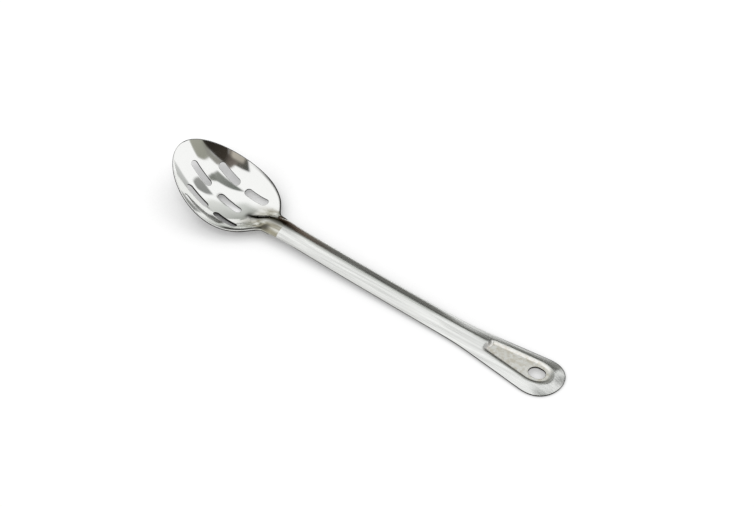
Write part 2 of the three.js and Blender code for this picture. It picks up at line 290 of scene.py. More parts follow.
class Pressing:
    """The pressed sheet as functions of along and across, which take whole arrays."""

    def __init__(self, sizes):
        self.sizes = sizes
        self.end = sizes.bowl_length + sizes.handle_length
        self.end_centre = self.end - sizes.end_round
        self.flare_start = self.end_centre - sizes.flare_length
        self.ridge_start = sizes.bowl_length - RIDGE_REACH
        self.neck = sizes.bowl_length + sizes.finish_line
        self.panel_end = self.end - sizes.panel_margin
        self.panel_start = self.panel_end - sizes.panel_length
        self.turn = np.eye(3)
        self.shift = np.zeros(3)
        self.settle()

    def side_view(self, along):
        """Place and pitch of the edge in the side view: arcs laid end to end, each by its chord.

        The pitch runs evenly from one end of an arc to the other, and the last stretch is straight.
        """
        tip, shoulder, neck, end = -np.radians([TIP_ANGLE, SHOULDER_ANGLE, NECK_ANGLE, END_ANGLE])
        grip = self.flare_start - BEND_START - BEND_LENGTH
        arcs = [(BEND_START, tip, shoulder), (BEND_LENGTH, shoulder, neck), (grip, neck, end),
                (self.end - self.flare_start, end, end)]
        x = np.zeros_like(along)
        z = np.zeros_like(along)
        pitch = np.full_like(along, tip)
        left = along
        for number, (length, first, last) in enumerate(arcs):
            run = left if number == len(arcs) - 1 else np.minimum(left, length)
            run = run if number == 0 else np.maximum(run, 0.0)
            turned = (last - first) * run / length
            chord = run * np.sinc(turned / (2.0 * np.pi))
            x = x + chord * np.cos(first + turned / 2.0)
            z = z + chord * np.sin(first + turned / 2.0)
            pitch = np.where(left > 0.0, first + turned, pitch)
            left = left - run
        return x, z, pitch

    def near_neck(self, along):
        """1 where the bowl runs into the neck, eased to 0 one blend length to each side."""
        return 1.0 - ease(0.0, NECK_BLEND, np.abs(along - self.sizes.bowl_length))

    def bowl_share(self, along):
        """-1 at the tip and 1 where the egg closes."""
        return 2.0 * along / self.sizes.bowl_length - 1.0

    def egg_half_width(self, along):
        """Half an ellipse's width, times a factor that grows evenly towards the neck, and more pointed there.

        The ellipse's square root becomes a higher power by the square of the share of the way to the neck.
        """
        share = self.bowl_share(along)
        room = positive(1.0 - share * share, EGG_ROUNDING * self.near_neck(along))
        power = 0.5 + NECK_POINTING * np.clip(share, 0.0, 1.0) ** 2
        return self.sizes.bowl_width / 2.0 * (1.0 + BOWL_FULLNESS * share) * np.maximum(room, 0.0) ** power

    def handle_half_width(self, along):
        """A straight taper along the grip, and a steeper one from the flare on, with an eased corner."""
        sizes = self.sizes
        passed = np.clip((along - self.neck) / (self.flare_start - self.neck), 0.0, 1.0)
        grip = between(sizes.neck_width, sizes.grip_width, passed) / 2.0
        flare = (sizes.end_width - sizes.grip_width) / 2.0 / sizes.flare_length
        return grip + flare * positive(along - self.flare_start, FLARE_EASE)

    def side_half_width(self, along):
        """The larger of egg and handle, with a fillet where they cross."""
        handle = self.handle_half_width(along)
        return handle + positive(self.egg_half_width(along) - handle, NECK_FILLET * self.near_neck(along))

    def end_rounding(self, along, end):
        """0 up to the rounded end's centre, and a power of the share of the way from there to its end."""
        share = np.maximum((along - self.end_centre) / (end - self.end_centre), 0.0)
        return share ** END_SQUARENESS

    def half_width(self, along):
        """Half the width: the egg in the bowl's front half, then egg and handle, closed at the end."""
        front = along < self.sizes.bowl_length / 2.0
        width = np.where(front, self.egg_half_width(along), self.side_half_width(along))
        return width * np.sqrt(np.maximum(1.0 - self.end_rounding(along, self.end), 0.0))

    def dish_height(self, along, across):
        """Below the edge by the depth of a paraboloid, which runs out at the neck."""
        sizes = self.sizes
        share = self.bowl_share(along)
        reach = sizes.bowl_width / 2.0 * (1.0 + BOWL_FULLNESS * np.minimum(share, 1.0))
        spread = DISH_ROUNDING * self.near_neck(along)
        here, rim = (positive(1.0 - share * share - (offset / reach) ** 2, spread)
                     for offset in (across, self.half_width(along)))
        return sizes.bowl_depth * (rim - here)

    def ramp_share(self, along):
        """0 on the arch and 1 on the panel, eased along the ramp between them."""
        return ease(self.panel_start - PANEL_RAMP / 2.0, self.panel_start + PANEL_RAMP / 2.0, along)

    def arch_fall(self, along, across, reach):
        """Fall from crest to foot, 0 to 1: a parabola along the grip, and a roof before the panel.

        The roof is a hyperbola, whose crest is rounded and whose sides are nearly flat.
        """
        rounded = (across / reach) ** 2
        roof = (np.hypot(across, CREST_ROUND) - CREST_ROUND) / (np.hypot(reach, CREST_ROUND) - CREST_ROUND)
        sharper = ease(self.flare_start - CREST_LENGTH, self.flare_start, along)
        sharper = sharper - ease(self.flare_start, self.end_centre, along)
        return between(rounded, roof, sharper)

    def arch_height(self, along, across):
        """The handle's arch, which runs into the bowl as a ridge that narrows and sinks to a point."""
        sizes = self.sizes
        passed = np.clip((along - self.ridge_start) / RIDGE_REACH, RIDGE_POINT, 1.0)
        joined = ease(sizes.bowl_length, self.neck, along)
        pointed = sizes.neck_width / 2.0 * passed ** RIDGE_TAPER
        reach = pointed * (1.0 - joined) + self.side_half_width(along) * joined
        room = 1.0 - self.arch_fall(along, across, reach) - self.end_rounding(along, self.end)
        rise = 1.0 - (1.0 - np.clip((along - self.ridge_start) / RIDGE_RISE, 0.0, 1.0)) ** RIDGE_EASE
        flattening = ease(self.flare_start, self.end_centre, along)
        crown = between(sizes.arch_height, sizes.end_arch_height, flattening)
        softness = between(RIDGE_SOFTNESS, 1.0, joined)
        return rise * crown * np.maximum(room, 0.0) ** softness

    def panel_share(self, along, across):
        """1 on the panel's floor and 0 outside it, eased across its walls and down the ramp at its start."""
        sizes = self.sizes
        passed = np.clip((along - self.panel_start) / (self.end_centre - self.panel_start), 0.0, 1.0)
        reach = between(sizes.panel_start_width, sizes.panel_end_width, passed) / 2.0
        level = np.sqrt((across / reach) ** 2 + self.end_rounding(along, self.panel_end))
        wall = ease(-PANEL_WALL / 2.0, PANEL_WALL / 2.0, (1.0 - level) * reach)
        return wall * self.ramp_share(along)

    def neck_share(self, along, across):
        """1 on the neck and 0 on the bowl, eased along and to both sides."""
        return ease(*NECK_RUN, along) * (1.0 - ease(*NECK_SIDES, np.abs(across)))

    def painted_shade_share(self, along, across):
        """Painted shade of the upper face, for shade and dark reflections: the most of the lines in the
        crease, far rim, panel wall and near rim.

        The crease is a bell, the near rim's line a flatter one, and the wall's is darkest half way down.
        """
        turned = ease(*CREASE_TURN, along)
        offset, width, most = (between(*ends, turned)
                               for ends in (CREASE_OFFSETS, CREASE_WIDTHS, CREASE_SHARES))
        crease = most * np.exp(-((across - offset) / width) ** 2) * span(CREASE_RUN, along)
        on_bowl = span((*RIM_RUN, self.sizes.bowl_length, self.neck), along)
        on_end = END_LINE_SHARE * ease(*END_LINE_RUN, along - self.flare_start)
        rim = np.maximum(on_bowl, on_end) * (1.0 - ease(*RIM_LINE, self.half_width(along) - across))
        share = self.panel_share(along, across)
        past_hole = np.maximum(along - self.end + self.sizes.hole_from_end, 0.0)
        near = 1.0 - ease(*WALL_SIDES, across - WALL_LEAN * past_hole)
        wall = WALL_SHARE * 2.0 * np.sqrt(share * (1.0 - share)) * near
        middle, reach = NECK_LINE
        corner = np.exp(-((self.half_width(along) + across - middle) / reach) ** 4)
        corner = NECK_LINE_SHARE * corner * span(NECK_LINE_RUN, along)
        return np.maximum.reduce([crease, rim, wall, corner])

    def painted_edge_shade(self, along, across):
        """How much higher the painted shade starts on the outline's edge: more on the far side and on the
        handle.
        """
        handle = HANDLE_PAINTED_SHADE * ease(self.neck, self.neck + HANDLE_PAINTED_SHADE_RUN, along)
        return np.maximum(FAR_PAINTED_SHADE * ease(*FAR_SIDE, across), handle)

    def on_sheet(self, plane):
        """True for rows of (along, across) between the sheet's sides."""
        return np.abs(plane[:, 1]) < self.half_width(plane[:, 0])

    def unsettled(self, along, across):
        """The edge's place in the side view, raised square to its pitch by dish, arch and panel."""
        along, across = np.broadcast_arrays(np.asarray(along, float), np.asarray(across, float))
        x, z, pitch = self.side_view(along)
        arch = self.arch_height(along, across)
        height = self.dish_height(along, across) + arch
        height = height + (self.sizes.panel_floor - arch) * self.panel_share(along, across)
        return np.stack([x - height * np.sin(pitch), across, z + height * np.cos(pitch)], axis=-1)

    def unsettled_normal(self, along, across):
        """Cross product of small differences along and across."""
        forward = self.unsettled(along + DIFFERENCE, across) - self.unsettled(along - DIFFERENCE, across)
        sideways = self.unsettled(along, across + DIFFERENCE) - self.unsettled(along, across - DIFFERENCE)
        normal = np.cross(forward, sideways)
        return normal / np.linalg.norm(normal, axis=-1, keepdims=True)

    def settle(self):
        """Turns and lifts the sheet until the lowest points of bowl and of handle are on the table."""
        rows, columns = SETTLE_STEPS
        end_margin, side_margin = SETTLE_MARGINS
        along = np.linspace(end_margin, self.end - end_margin, rows)[:, None]
        across = np.linspace(-1.0, 1.0, columns)[None, :] * (self.half_width(along) - side_margin)
        upper = self.unsettled(along, across).reshape(-1, 3)
        lower = upper - self.sizes.sheet * self.unsettled_normal(along, across).reshape(-1, 3)
        for _ in range(SETTLE_PASSES):
            placed = lower @ self.turn.T
            front = placed[:, 0] < self.sizes.bowl_length
            bowl = placed[front][placed[front, 2].argmin()]
            tail = placed[~front][placed[~front, 2].argmin()]
            angle = math.atan2(tail[2] - bowl[2], tail[0] - bowl[0])
            self.turn = np.array(Matrix.Rotation(angle, 3, "Y")) @ self.turn
        ends = np.array([0.0, self.end])
        tips = self.unsettled(ends, np.zeros(2))
        tips = np.concatenate([tips, tips - self.sizes.sheet * self.unsettled_normal(ends, np.zeros(2))])
        tips = (tips @ self.turn.T)[:, 0]
        height = (lower @ self.turn.T)[:, 2].min()
        self.shift = np.array([-(tips.min() + tips.max()) / 2.0, 0.0, -height])

    def point(self, plane):
        """Upper face at rows of (along, across)."""
        return self.unsettled(plane[:, 0], plane[:, 1]) @ self.turn.T + self.shift

    def normal(self, plane):
        """Upward normal at rows of (along, across)."""
        return self.unsettled_normal(plane[:, 0], plane[:, 1]) @ self.turn.T


def evenly(curve, step):
    """Points at even distances along a finely drawn curve, both its ends among them."""
    length = np.concatenate([[0.0], np.cumsum(np.linalg.norm(np.diff(curve, axis=0), axis=1))])
    places = np.linspace(0.0, length[-1], int(round(length[-1] / step)) + 1)
    return np.stack([np.interp(places, length, column) for column in curve.T], axis=1)


def outline(pressing):
    """The sheet's closed outline, from the tip along the far side to the end and back.

    With it come the places in it where the finish line meets its far and its near side.
    """
    turn = np.linspace(0.0, np.pi / 2.0, DENSE)
    front = pressing.neck * (1.0 - np.cos(turn))
    back = pressing.neck + (pressing.end - pressing.neck) * np.sin(turn)
    bowl, handle = (evenly(np.stack([along, pressing.half_width(along)], axis=1), OUTLINE_STEP)
                    for along in (front, back))
    mirror = np.array([1.0, -1.0])
    loop = np.concatenate([bowl, handle[1:], handle[-2::-1] * mirror, bowl[-2:0:-1] * mirror])
    far, end = len(bowl) - 1, len(bowl) + len(handle) - 2
    return loop, (far, 2 * end - far)


def obround(middle, offset, length, width):
    """Outline of a slot, counter-clockwise from above: two half circles joined by straights."""
    turn = np.linspace(-np.pi / 2.0, np.pi / 2.0, DENSE)
    straight = (length - width) / 2.0
    half = np.stack([straight + width / 2.0 * np.cos(turn), width / 2.0 * np.sin(turn)], axis=1)
    loop = evenly(np.concatenate([half, -half, half[:1]]), HOLE_STEP)[:-1]
    return loop + np.array([middle, offset])


class Edge:
    """A closed cut edge: where the upper face stops short of it, and which way is out of the metal there."""

    def __init__(self, pressing, loop, rounding, keep_along=()):
        """The loop is moved into the metal, on its right, by the rounding as measured on the sheet."""
        ahead = np.roll(loop, -1, axis=0) - np.roll(loop, 1, axis=0)
        inward = np.stack([ahead[:, 1], -ahead[:, 0]], axis=1)
        inward = inward / np.linalg.norm(inward, axis=1, keepdims=True)
        probe = pressing.point(loop + inward * rounding) - pressing.point(loop)
        stretch = np.linalg.norm(probe, axis=1, keepdims=True) / rounding
        self.plane = loop + inward * rounding / stretch
        self.plane[list(keep_along), 0] = loop[list(keep_along), 0]
        foot = pressing.point(self.plane)
        self.normal = pressing.normal(self.plane)
        out = np.cross(self.normal, np.roll(foot, -1, axis=0) - np.roll(foot, 1, axis=0))
        self.out = out / np.linalg.norm(out, axis=1, keepdims=True)
        self.rounding = rounding


def edge_profile(rounding, sheet, squareness):
    """Section of a cut edge from the upper face to the lower: a superellipse, and its normals.

    Columns are the reach out of the metal, the depth below the upper face, and the normal's two parts.
    """
    turn = np.linspace(0.0, np.pi, EDGE_DENSE)
    power = 2.0 / squareness
    reach = rounding * np.sin(turn) ** power
    depth = sheet / 2.0 * (1.0 - np.sign(np.cos(turn)) * np.abs(np.cos(turn)) ** power)
    length = np.concatenate([[0.0], np.cumsum(np.hypot(np.diff(reach), np.diff(depth)))])
    places = np.linspace(0.0, length[-1], EDGE_ROWS + 1)
    fall = np.gradient(depth, length)
    swell = np.gradient(reach, length)
    parts = [np.interp(places, length, values) for values in (reach, depth, fall, swell)]
    parts[2][[0, -1]] = 0.0
    parts[3][[0, -1]] = [1.0, -1.0]
    return np.stack(parts, axis=1)


def inside(loop, points):
    """True for points in a loop: a line from each towards +along crosses it an odd number of times."""
    start, stop = loop, np.roll(loop, -1, axis=0)
    above = (start[None, :, 1] > points[:, None, 1]) != (stop[None, :, 1] > points[:, None, 1])
    rise = np.where(stop[:, 1] == start[:, 1], 1.0, stop[:, 1] - start[:, 1])
    meet = start[:, 0] + (points[:, None, 1] - start[:, 1]) * (stop[:, 0] - start[:, 0]) / rise
    return (above & (points[:, None, 0] < meet)).sum(axis=1) % 2 == 1


def net(loops, keep):
    """Flat net of even triangles held to closed loops: a lattice of points joined by Delaunay's rule.

    Returns the points that the triangles use, the loops' own first and in order, and the triangles.
    """
    border = np.concatenate(loops)
    low, high = border.min(axis=0), border.max(axis=0)
    rows = np.arange(low[0], high[0], NET_STEP * math.sqrt(3.0) / 2.0)
    along = np.repeat(rows, int((high[1] - low[1]) / NET_STEP) + 1).reshape(len(rows), -1)
    odd = np.arange(len(rows))[:, None] % 2
    across = low[1] + NET_STEP * (np.arange(along.shape[1])[None, :] + 0.5 * odd)
    lattice = np.stack([along.ravel(), across.ravel()], axis=1)
    lattice = lattice[keep(lattice)]
    shore = border[:, 0] + 1j * border[:, 1]
    parts = np.array_split(lattice[:, 0] + 1j * lattice[:, 1], NET_PARTS)
    clear = np.concatenate([np.abs(part[:, None] - shore[None, :]).min(axis=1) for part in parts])
    points = np.concatenate([border, lattice[clear > NET_CLEARANCE]])
    links = []
    first = 0
    for loop in loops:
        count = first + np.arange(len(loop))
        links.append(np.stack([count, np.roll(count, -1)], axis=1))
        first += len(loop)
    links = np.concatenate(links)
    middle = points.mean(axis=0)
    found = delaunay_2d_cdt(((points - middle) / MM).tolist(), links.tolist(), [], NET_INSIDE, NET_TOLERANCE)
    if len(found[0]) != len(points):
        raise ValueError("the net changed its points")
    triangles = np.array(found[2])
    centres = points[triangles].mean(axis=1)
    triangles = triangles[~np.any([inside(loop, centres) for loop in loops[1:]], axis=0)]
    used, triangles = np.unique(triangles, return_inverse=True)
    return points[used], triangles.reshape(-1, 3)


def link(name, data):
    """A new object in the scene."""
    thing = bpy.data.objects.new(name, data)
    bpy.context.scene.collection.objects.link(thing)
    return thing


def pressed_piece(name, pressing, rim, seam, holes, dull_and_painted_share):
    """One closed piece of the sheet: upper face, lower face, rounded cut edges, and a flat face at the seam.

    The rim is the outline's edge and the places of an open stretch in it. The seam joins the stretch's ends.
    """
    sheet = pressing.sizes.sheet
    edge, places = rim
    cuts = [rim] + [(hole, np.arange(len(hole.plane))) for hole in holes]
    loops = [np.concatenate([edge.plane[places], seam])] + [hole.plane for hole in holes]
    plane, triangles = net(loops, pressing.on_sheet)
    normal = pressing.normal(plane)
    upper = pressing.point(plane)
    count = len(plane)
    points = [upper, upper - sheet * normal]
    normals = [normal, -normal]
    faces = [triangles, triangles[:, ::-1] + count]
    quads = []
    sheet_places = [plane, plane]
    # Painted shade on the upper face, none on the lower
    painted_shade_and_raw = [pressing.painted_shade_share(*plane.T), np.zeros(count)]
    total = 2 * count
    first = 0
    for loop, (cut, chosen) in zip(loops, cuts):
        on_rim = cut is edge
        profile = edge_profile(cut.rounding, sheet, RIM_SQUARENESS if on_rim else HOLE_SQUARENESS)
        reach, depth, fall, swell = (column[None, 1:-1, None] for column in profile.T)
        feet = np.arange(first, first + len(chosen))
        out, up = cut.out[chosen][:, None, :], cut.normal[chosen][:, None, :]
        band = upper[feet][:, None, :] + reach * out - depth * up
        size = band.shape[0] * band.shape[1]
        ring = np.arange(total, total + size).reshape(band.shape[:2])
        ring = np.concatenate([feet[:, None], ring, feet[:, None] + count], axis=1)
        points.append(band.reshape(-1, 3))
        normals.append((fall * out + swell * up).reshape(-1, 3))
        sheet_places.append(np.repeat(plane[feet], band.shape[1], axis=0))
        # Darker lower part of each cut edge: partly raw shear, partly painted shade for dark reflections
        raw_and_shade = pressing.painted_edge_shade(*plane[feet].T) if on_rim else np.full(len(feet), SLOT_RAW_AND_SHADE)
        painted_shade_and_raw.append(ease(*RAW_AND_SHADE_DEPTHS, profile[None, 1:-1, 1] / sheet + raw_and_shade[:, None]).ravel())
        start, stop = (ring[:-1], ring[1:]) if on_rim else (ring, np.roll(ring, -1, axis=0))
        if on_rim:
            line = np.concatenate([np.arange(feet[-1], len(loop)), feet[:1]])
            quads.append(np.stack([line[:-1], line[1:], line[1:] + count, line[:-1] + count], axis=1))
            opening, closing = ring[0], ring[-1]
            faces.append(np.stack([np.full(EDGE_ROWS - 1, opening[0]), opening[1:-1], opening[2:]], axis=1))
            faces.append(np.stack([np.full(EDGE_ROWS - 1, closing[0]), closing[2:], closing[1:-1]], axis=1))
        corners = [start[:, :-1], stop[:, :-1], stop[:, 1:], start[:, 1:]]
        quads.append(np.stack([corner.ravel() for corner in corners], axis=1))
        total += size
        first += len(loop)
    mesh = bpy.data.meshes.new(name)
    faces = np.concatenate(faces).tolist() + np.concatenate(quads).tolist()
    mesh.from_pydata(np.concatenate(points).tolist(), [], faces)
    mesh.shade_smooth()
    mesh.normals_split_custom_set_from_vertices(np.concatenate(normals).tolist())
    # One attribute holds the painted shade and the raw cut edges, the other the dull places and the neck's
    # painted reflection
    dull_and_painted_reflection = dull_and_painted_share(*np.concatenate(sheet_places).T)
    for attribute, values in (("shade_and_raw_edge", np.concatenate(painted_shade_and_raw)), ("dull_and_painted_reflection", dull_and_painted_reflection)):
        mesh.attributes.new(attribute, "FLOAT", "POINT").data.foreach_set("value", values)
    mesh.validate()
    return link(name, mesh)


class NodeBench:
    """Adds nodes to one tree: add makes any node, and the rest make a common one and give its output."""

    def __init__(self, tree):
        self.tree = tree
        tree.nodes.clear()

    def add(self, kind, values=(), **settings):
        """A node of that kind. Values go by socket name or number, each a value or an output socket."""
        node = self.tree.nodes.new(kind)
        for key, value in settings.items():
            setattr(node, key, value)
        for socket, value in dict(values).items():
            if isinstance(value, bpy.types.NodeSocket):
                self.tree.links.new(value, node.inputs[socket])
            else:
                node.inputs[socket].default_value = value
        return node

    def mix(self, share, first, second):
        """Mix of two colours."""
        return self.add("ShaderNodeMix", {0: share, 6: first, 7: second}, data_type="RGBA").outputs[2]

    def tones(self, share, colour, factors):
        """Mix of a colour times one factor and times another."""
        return self.mix(share, *((*(factor * part for part in colour), 1.0) for factor in factors))

    def math(self, operation, *values):
        """Result of an operation on values."""
        return self.add("ShaderNodeMath", dict(enumerate(values)), operation=operation).outputs[0]

    def remap(self, value, reach, onto=(0.0, 1.0), **settings):
        """A value's share of the way along one reach, laid onto another."""
        return self.add("ShaderNodeMapRange", dict(enumerate((value, *reach, *onto))), **settings).outputs[0]

    def place(self):
        """Object coordinates."""
        return self.add("ShaderNodeTexCoord").outputs["Object"]

    def noise(self, name):
        """One of the noises, on Object coordinates stretched along the spoon."""
        scale, stretch, detail = NOISES[name]
        values = {"Vector": self.place(), "Scale": (stretch, 1.0, 1.0)}
        place = self.add("ShaderNodeMapping", values).outputs[0]
        values = {"Vector": place, "Scale": scale, "Detail": detail}
        return self.add("ShaderNodeTexNoise", values).outputs["Fac"]

    def relief(self, height, form, **under):
        """Normal of a relief, over another normal if one is given."""
        strength, distance = form
        values = {"Height": height, "Strength": strength, "Distance": distance, **under}
        return self.add("ShaderNodeBump", values).outputs[0]


def new_material(name):
    """A material and the bench of its empty tree."""
    material = bpy.data.materials.new(name)
    material.use_nodes = True
    return material, NodeBench(material.node_tree)


def steel(name, colour, roughness, finish):
    """A steel material: the finish is a function that gives the shader's colour, roughness and normal."""
    material, bench = new_material(name)
    shader = bench.add("ShaderNodeBsdfPrincipled", {"Metallic": 1.0, **finish(bench, colour, roughness)})
    bench.add("ShaderNodeOutputMaterial", {"Surface": shader.outputs["BSDF"]})
    return material


def finish_and_painted_shade(bench, tone, shade, normal, tint, haze):
    """The shader's inputs: colour, roughness and normal, tint and haze in dull places, the neck's tint being
    painted reflection, and painted shade with raw cut edges over all, in colour and specular tint.
    """
    dull_and_painted_reflection = bench.add("ShaderNodeAttribute", attribute_name="dull_and_painted_reflection").outputs["Fac"]
    shade_and_raw_edge = bench.add("ShaderNodeAttribute", attribute_name="shade_and_raw_edge").outputs["Fac"]
    return {
        "Base Color": bench.mix(shade_and_raw_edge, bench.mix(dull_and_painted_reflection, tone, tint), PAINTED_SHADE_AND_RAW_EDGE),
        "Roughness": bench.math("MULTIPLY_ADD", dull_and_painted_reflection, haze, shade),
        "Normal": normal,
        "Specular Tint": bench.mix(shade_and_raw_edge, WHITE, PAINTED_SHADE_AND_RAW_EDGE),
    }


def polished(bench, colour, roughness):
    """Mirror polish: faint waves left by the press, buffing lines, haze in patches, and a hazier neck
    streaked with painted dark olive reflection.
    """
    haze = bench.noise("haze")
    tone = bench.tones(haze, colour, HAZE_TONES)
    shade = bench.remap(haze, HAZE_SPAN, [factor * roughness for factor in HAZE_ROUGHNESS])
    pressed = bench.relief(bench.noise("waves"), WAVE_RELIEF)
    buffed = bench.relief(bench.noise("buffing"), BUFFING_RELIEF, Normal=pressed)
    # Streaks of painted dark olive reflection on the neck
    painted_neck_streaks = bench.remap(bench.noise("painted_neck_streaks"), PAINTED_NECK_STREAK_SPAN)
    return finish_and_painted_shade(bench, tone, shade, buffed, bench.mix(painted_neck_streaks, NECK_PAINTED_DARK, NECK_PAINTED_LIGHT), NECK_HAZE)


def satin(bench, colour, roughness):
    """Brushed finish: streaks in colour, roughness and relief along the handle, and a mottled panel."""
    streaks = bench.noise("streaks")
    tone = bench.tones(bench.remap(streaks, STREAK_SPAN), colour, STREAK_TONES)
    clouded = bench.math("ADD", streaks, bench.noise("cloud"))
    shade = bench.remap(clouded, CLOUD_SPAN, [factor * roughness for factor in CLOUD_ROUGHNESS])
    brushed = bench.relief(streaks, BRUSHING_RELIEF)
    spots = bench.remap(bench.noise("spots"), SPOT_SPAN)
    return finish_and_painted_shade(bench, tone, shade, brushed, bench.mix(spots, PANEL_TINT, PANEL_LIGHT), PANEL_HAZE)


def dress(piece, material, node):
    """Gives a piece its finish and its place in the frame."""
    piece.data.materials.append(material)
    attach(piece, "root")
    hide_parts(node)


def neck_line(edge, first, last):
    """Points of the seam between two places of the outline's edge, which lie on the finish line."""
    ends = edge.plane[[first, last]]
    count = int(round(np.linalg.norm(ends[1] - ends[0]) / OUTLINE_STEP))
    return between(*ends, np.linspace(0.0, 1.0, count + 1)[1:-1, None])


def spoon_edge(context):
    """The pressing, its outline's edge, and the far and near places of the finish line in it."""
    pressing = Pressing(context.scene.spoon_sizes)
    loop, marks = outline(pressing)
    return pressing, Edge(pressing, loop, pressing.sizes.edge_round, keep_along=marks), *marks


class SPOON_OT_bowl(Operator):
    """Make the polished bowl with its six slots and the ridge that runs into it"""

    bl_idname = "spoon.bowl"
    bl_label = "Make Bowl"

    def execute(self, context):
        pressing, edge, far, near = spoon_edge(context)
        sizes = pressing.sizes
        places = np.concatenate([np.arange(near, len(edge.plane)), np.arange(far + 1)])
        side = sizes.side_slot_offset
        middles = [(along, 0.0) for along in sizes.middle_slots]
        middles += [(along, across) for along in sizes.side_slots for across in (-side, side)]
        slots = [obround(*middle, sizes.slot_length, sizes.slot_width) for middle in middles]
        slots = [Edge(pressing, slot, sizes.slot_round) for slot in slots]
        seam = neck_line(edge, far, near)
        # The bowl's dull places are the neck, with its painted reflection
        piece = pressed_piece("bowl_polished", pressing, (edge, places), seam, slots, pressing.neck_share)
        look = context.scene.spoon_finish
        material = steel("Polished steel", look.polished, look.polished_roughness, polished)
        dress(piece, material, "bowl")
        return {"FINISHED"}


class SPOON_OT_handle(Operator):
    """Make the satin handle with its arch, recessed panel and hanging hole"""

    bl_idname = "spoon.handle"
    bl_label = "Make Handle"

    def execute(self, context):
        pressing, edge, far, near = spoon_edge(context)
        sizes = pressing.sizes
        places = np.arange(far, near + 1)
        hole = obround(pressing.end - sizes.hole_from_end, 0.0, sizes.hole_length, sizes.hole_width)
        hole = Edge(pressing, hole, sizes.slot_round)
        seam = neck_line(edge, near, far)
        piece = pressed_piece("handle_satin", pressing, (edge, places), seam, [hole], pressing.panel_share)
        look = context.scene.spoon_finish
        material = steel("Satin steel", look.satin, look.satin_roughness, satin)
        dress(piece, material, "handle")
        return {"FINISHED"}


# The white dome, and the degrees from overhead that it reaches down to
DOME_RADIUS = 5.0
DOME_REACH = 92.0
DOME_STEPS = (120, 320)

# Soft sun from the camera's side, so that shadows fall away from the camera
SUN_HEIGHT = 56.0
SUN_SPREAD = 26.0

# Shadows on the floor: the lean of the sky that each is measured with, and the light left in its deepest
# part, for the shadow that falls away from the camera and for the softer one towards it
SHADOWS = (((0.27, -0.31, 0.91), 0.50), ((-0.30, 0.33, 0.895), 0.80))
SHADOW_REACH = 0.055
SHADOW_SPAN = (0.50, 0.95)
SHADOW_SAMPLES = 16

# Patches of deeper shadow under the bowl's near side and behind its tip: place, half axes, turn, the span of
# the soft edge, and the light left inside
PATCHES = (((-0.1145, -0.0135, 0.0), (0.015, 0.0055, 1.0), 0.0, (0.9, 1.4), 0.0),
           ((-0.163, 0.022, 0.0), (0.032, 0.022, 1.0), 154.0, (0.6, 1.5), 0.72))

# The strip behind the handle: its offset in Y, the height of its foot, at places along X the height of its
# head and its colour, and the shades of foot and head
STRIP_OFFSET = 0.024
STRIP_FOOT = 0.003
STRIP_PLACES = (-0.095, -0.035, 0.07, 0.10, 0.155)
STRIP_HEADS = (0.048, 0.044, 0.035, 0.019, 0.016)
STRIP_COLOURS = ((0.12, 0.08, 0.055), (0.135, 0.133, 0.124), (0.14, 0.14, 0.13), (0.14, 0.14, 0.13),
                 (0.19, 0.19, 0.18))
STRIP_SHADES = (1.45, 0.3)

# Cards and walls round the table that the steel reflects, later ones in front of earlier ones. Each is a
# convex outline clockwise as seen on a map of the sky, in degrees from overhead towards +X and towards +Y,
# with the softness of its edge and the colours of its left and its right side, or one colour for both
CARDS = {
    "olive_wall": (((47.5, -14), (47.5, 8), (53, 19), (95, 22), (95, -20)), 4.0,
                   (0.30, 0.30, 0.26), (0.42, 0.42, 0.36)),
    "grey_corner": (((35, -9), (49, -5), (66, -9), (31, -21)), 3.0, (0.30, 0.29, 0.27), (0.27, 0.27, 0.24)),
    "pale_side": (((-50, 20), (-50, 65), (-15, 65), (-5, 45), (-22, 12)), 12.0,
                  (0.40, 0.41, 0.385), (0.82, 0.84, 0.82)),
    "pale_high": (((-52, 43), (-52, 66), (-8, 66), (-3, 50), (-8, 43)), 8.0,
                  (0.32, 0.335, 0.31), (0.79, 0.80, 0.78)),
    "inner_card": (((-15, 25), (-15, 39), (0, 39), (4, 30), (3, 25)), 4.0, (0.11, 0.11, 0.10)),
    "back_wall": (((-50, 68), (-55, 97), (28, 97), (24, 82), (8, 72), (-12, 66)), 6.0,
                  (0.12, 0.118, 0.108), (0.64, 0.65, 0.64)),
    "near_dark": (((-76, 60), (-60, 95), (-42, 95), (-44, 72), (-58, 66)), 5.0, (0.08, 0.075, 0.06)),
    "front_low": (((-50, -92), (-45, -50), (4, -48), (8, -92)), 8.0, (0.25, 0.24, 0.22)),
    "front_wall": (((3, -30.5), (31, -27.4), (42, -50), (38, -70)), 2.5,
                   (0.055, 0.062, 0.055), (0.22, 0.19, 0.165)),
    "brown_side": (((22.5, -19.5), (33, -19.5), (36, -35), (20, -33)), 4.0,
                   (0.20, 0.175, 0.155), (0.06, 0.05, 0.042)),
    "pale_wall": (((15, -36), (30, -34.5), (34, -42), (30, -60), (18, -50)), 5.0,
                  (0.42, 0.39, 0.34), (0.50, 0.46, 0.40)),
    "camera_card": (((31, -20.5), (64, -11.5), (85, -15), (60, -75), (34, -35)), 4.0,
                    (0.045, 0.038, 0.03), (0.006, 0.005, 0.005)),
    "roof_card": (((-9, -3), (0, 4), (22, 15), (30, 15), (30, -2), (4, -4.5)), 3.5,
                  (0.13, 0.14, 0.13), (0.27, 0.28, 0.26)),
    "roof_corner": (((19, 12), (23, 24), (29, 22), (30, 10)), 3.5, (0.20, 0.21, 0.19)),
    "side_card": (((3.5, 41), (3.5, 53), (8, 63), (17, 63), (24, 55), (28, 44), (20, 40.5)), 4.0,
                  (0.26, 0.265, 0.26), (0.33, 0.33, 0.32)),
}


